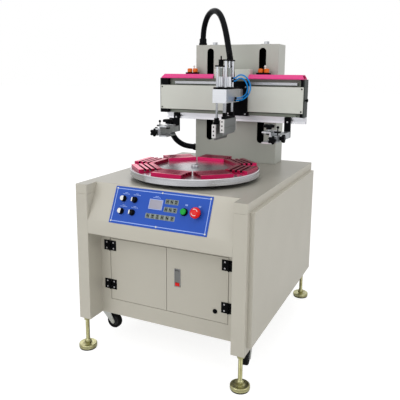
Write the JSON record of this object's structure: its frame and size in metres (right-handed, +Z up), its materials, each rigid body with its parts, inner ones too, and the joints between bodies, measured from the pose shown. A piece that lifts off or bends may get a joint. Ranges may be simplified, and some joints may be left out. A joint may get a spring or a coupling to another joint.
{
  "type": "flatbed screen printing machine",
  "caption": "Floor standing screen printer with an indexing turntable, a lifting beam, a traversing squeegee head and screen clamps over a cabinet.",
  "frame": {"origin": "on the floor, under the middle of the table", "axes": "+X to the operator's right, +Y to the back, +Z up"},
  "size_m": [0.734, 0.939, 1.4016],
  "materials": {
    "cream_paint": "satin powder coat",
    "table_paint": "satin powder coat",
    "panel_blue": "printed matt film",
    "beam_alu": "satin powder coat",
    "beam_grey": "satin powder coat",
    "beam_pink": "satin powder coat",
    "black_plastic": "matt",
    "black_metal": "black oxide",
    "aluminium": "machined",
    "pink_anodised": "anodised",
    "steel": "ground",
    "zinc": "yellow zinc",
    "orange_plastic": "gloss",
    "green_plastic": "gloss",
    "red_plastic": "gloss",
    "silver_plastic": "satin",
    "grey_wheel": "matt",
    "blue_tube": "gloss",
    "hose_black": "matt",
    "motor_grey": "painted casting"
  },
  "bodies": {
    "machine": {"cabinet_frame": "cream_paint", "console_hood": "cream_paint", "table_top": "table_paint", "cover_panels": "cream_paint", "control_plate": "panel_blue", "panel_fittings": "black_plastic", "hinge_frame_leaves": "black_metal", "frame_hardware": "zinc", "column_housing": "cream_paint", "hose_glands": "black_plastic", "lift_unit": "steel", "index_gearbox": "motor_grey", "drive_motor": "motor_grey", "electrical_box": "beam_grey", "top_hose": "hose_black", "side_hose": "hose_black"},
    "turntable": {"turntable_disc": "aluminium", "turntable_hub": "steel", "fixture_blocks": "pink_anodised"},
    "input_drive": {"input_coupling": "aluminium"},
    "beam": {"lift_arms": "aluminium", "beam_channel": "beam_alu", "beam_ends": "black_metal", "beam_covers": "beam_grey", "pink_covers": "beam_pink", "linear_rails": "steel", "screen_rail": "aluminium", "thumb_screws": "orange_plastic"},
    "print_head": {"carriage_plate": "aluminium", "head_block": "aluminium", "head_top": "black_metal", "air_tube": "blue_tube"},
    "squeegee": {"squeegee_slide": "steel", "squeegee_holder": "aluminium"},
    "flood_bar": {"flood_slide": "steel", "flood_holder": "aluminium"},
    "left_clamp": {"clamp_left": "aluminium"},
    "left_clamp_screw": {"clamp_left_screw": "black_plastic"},
    "right_clamp": {"clamp_right": "aluminium"},
    "right_clamp_screw": {"clamp_right_screw": "black_plastic"},
    "left_door": {"door_left": "cream_paint"},
    "right_door": {"door_right": "cream_paint"},
    "pull_handle": {"latch_handle": "black_plastic"},
    "release_button": {"latch_button": "red_plastic"},
    "start_cap": {"start_button": "green_plastic"},
    "stop_head": {"stop_button": "red_plastic"},
    "knob_1": {"dial_1": "silver_plastic"},
    "knob_2": {"dial_2": "silver_plastic"},
    "knob_3": {"dial_3": "silver_plastic"},
    "knob_4": {"dial_4": "silver_plastic"},
    "front_left_foot": {"foot_front_left": "zinc"},
    "front_left_caster": {"caster_fork_front_left": "zinc"},
    "front_left_wheel": {"caster_wheel_front_left": "grey_wheel"},
    "front_right_foot": {"foot_front_right": "zinc"},
    "front_right_caster": {"caster_fork_front_right": "zinc"},
    "front_right_wheel": {"caster_wheel_front_right": "grey_wheel"},
    "rear_left_foot": {"foot_rear_left": "zinc"},
    "rear_left_wheel": {"caster_wheel_rear_left": "grey_wheel"},
    "rear_right_foot": {"foot_rear_right": "zinc"},
    "rear_right_wheel": {"caster_wheel_rear_right": "grey_wheel"}
  },
  "joints": [
    {"name": "turntable_index", "type": "hinge", "parent": "machine", "child": "turntable", "pos_m": [0, -0.1255, 0.7], "axis": [0, 0, 1], "continuous": true},
    {"name": "input_spin", "type": "hinge", "parent": "machine", "child": "input_drive", "pos_m": [0, 0.006, 0.58], "axis": [0, 1, 0], "continuous": true},
    {"name": "beam_lift", "type": "slide", "parent": "machine", "child": "beam", "axis": [0, 0, 1], "range_m": [-0.076, 0.02], "deforming": ["side_hose", "top_hose"]},
    {"name": "head_traverse", "type": "slide", "parent": "beam", "child": "print_head", "axis": [1, 0, 0], "range_m": [-0.2, 0.1], "deforming": ["top_hose"]},
    {"name": "squeegee_lift", "type": "slide", "parent": "print_head", "child": "squeegee", "axis": [0, 0, 1], "range_m": [0, 0.024]},
    {"name": "flood_lift", "type": "slide", "parent": "print_head", "child": "flood_bar", "axis": [0, 0, 1], "range_m": [-0.024, 0]},
    {"name": "left_clamp_slide", "type": "slide", "parent": "beam", "child": "left_clamp", "axis": [1, 0, 0], "range_m": [-0.03, 0.03]},
    {"name": "left_clamp_press", "type": "slide", "parent": "left_clamp", "child": "left_clamp_screw", "axis": [0, 0, 1], "range_m": [-0.006, 0.004]},
    {"name": "right_clamp_slide", "type": "slide", "parent": "beam", "child": "right_clamp", "axis": [1, 0, 0], "range_m": [-0.03, 0.03]},
    {"name": "right_clamp_press", "type": "slide", "parent": "right_clamp", "child": "right_clamp_screw", "axis": [0, 0, 1], "range_m": [-0.006, 0.004]},
    {"name": "left_door_hinge", "type": "hinge", "parent": "machine", "child": "left_door", "pos_m": [-0.255, -0.3738, 0.328], "axis": [0, 0, 1], "range_deg": [-95, 0]},
    {"name": "right_door_hinge", "type": "hinge", "parent": "machine", "child": "right_door", "pos_m": [0.255, -0.3738, 0.328], "axis": [0, 0, 1], "range_deg": [0, 95]},
    {"name": "pull_handle_hinge", "type": "hinge", "parent": "right_door", "child": "pull_handle", "pos_m": [0.047, -0.364, 0.37], "axis": [1, 0, 0], "range_deg": [-35, 0]},
    {"name": "release_press", "type": "slide", "parent": "right_door", "child": "release_button", "axis": [0, 1, 0], "range_m": [0, 0.003], "stiffness_N_per_m": 400, "springref_m": -0.001},
    {"name": "start_press", "type": "slide", "parent": "machine", "child": "start_cap", "axis": [0, 0.9069, -0.4213], "range_m": [0, 0.003], "stiffness_N_per_m": 400, "springref_m": -0.001},
    {"name": "stop_press", "type": "slide", "parent": "machine", "child": "stop_head", "axis": [0, 0.9069, -0.4213], "range_m": [0, 0.004], "stiffness_N_per_m": 800, "springref_m": -0.001},
    {"name": "dial_1_turn", "type": "hinge", "parent": "machine", "child": "knob_1", "pos_m": [-0.158, -0.41253, 0.63702], "axis": [0, -0.9069, 0.4213], "range_deg": [-135, 135]},
    {"name": "dial_2_turn", "type": "hinge", "parent": "machine", "child": "knob_2", "pos_m": [-0.11, -0.41253, 0.63702], "axis": [0, -0.9069, 0.4213], "range_deg": [-135, 135]},
    {"name": "dial_3_turn", "type": "hinge", "parent": "machine", "child": "knob_3", "pos_m": [-0.158, -0.43275, 0.59348], "axis": [0, -0.9069, 0.4213], "range_deg": [-135, 135]},
    {"name": "dial_4_turn", "type": "hinge", "parent": "machine", "child": "knob_4", "pos_m": [-0.11, -0.43275, 0.59348], "axis": [0, -0.9069, 0.4213], "range_deg": [-135, 135]},
    {"name": "front_left_foot_screw", "type": "slide", "parent": "machine", "child": "front_left_foot", "axis": [0, 0, -1], "range_m": [0, 0.03]},
    {"name": "front_right_foot_screw", "type": "slide", "parent": "machine", "child": "front_right_foot", "axis": [0, 0, -1], "range_m": [0, 0.03]},
    {"name": "rear_left_foot_screw", "type": "slide", "parent": "machine", "child": "rear_left_foot", "axis": [0, 0, -1], "range_m": [0, 0.03]},
    {"name": "rear_right_foot_screw", "type": "slide", "parent": "machine", "child": "rear_right_foot", "axis": [0, 0, -1], "range_m": [0, 0.03]},
    {"name": "front_left_swivel", "type": "hinge", "parent": "machine", "child": "front_left_caster", "pos_m": [-0.311, -0.309, 0.12], "axis": [0, 0, 1], "continuous": true},
    {"name": "front_left_wheel_spin", "type": "hinge", "parent": "front_left_caster", "child": "front_left_wheel", "pos_m": [-0.283, -0.309, 0.0715], "axis": [0, 1, 0], "continuous": true},
    {"name": "front_right_swivel", "type": "hinge", "parent": "machine", "child": "front_right_caster", "pos_m": [0.311, -0.309, 0.12], "axis": [0, 0, 1], "continuous": true},
    {"name": "front_right_wheel_spin", "type": "hinge", "parent": "front_right_caster", "child": "front_right_wheel", "pos_m": [0.31586, -0.33658, 0.0715], "axis": [0.9848, 0.1736, 0], "continuous": true},
    {"name": "rear_left_wheel_spin", "type": "hinge", "parent": "machine", "child": "rear_left_wheel", "pos_m": [-0.283, 0.337, 0.0715], "axis": [-1, 0, 0], "continuous": true},
    {"name": "rear_right_wheel_spin", "type": "hinge", "parent": "machine", "child": "rear_right_wheel", "pos_m": [0.283, 0.337, 0.0715], "axis": [-1, 0, 0], "continuous": true}
  ],
  "couplings": [
    {"joint": "input_spin", "follows": "turntable_index", "ratio": 8}
  ]
}
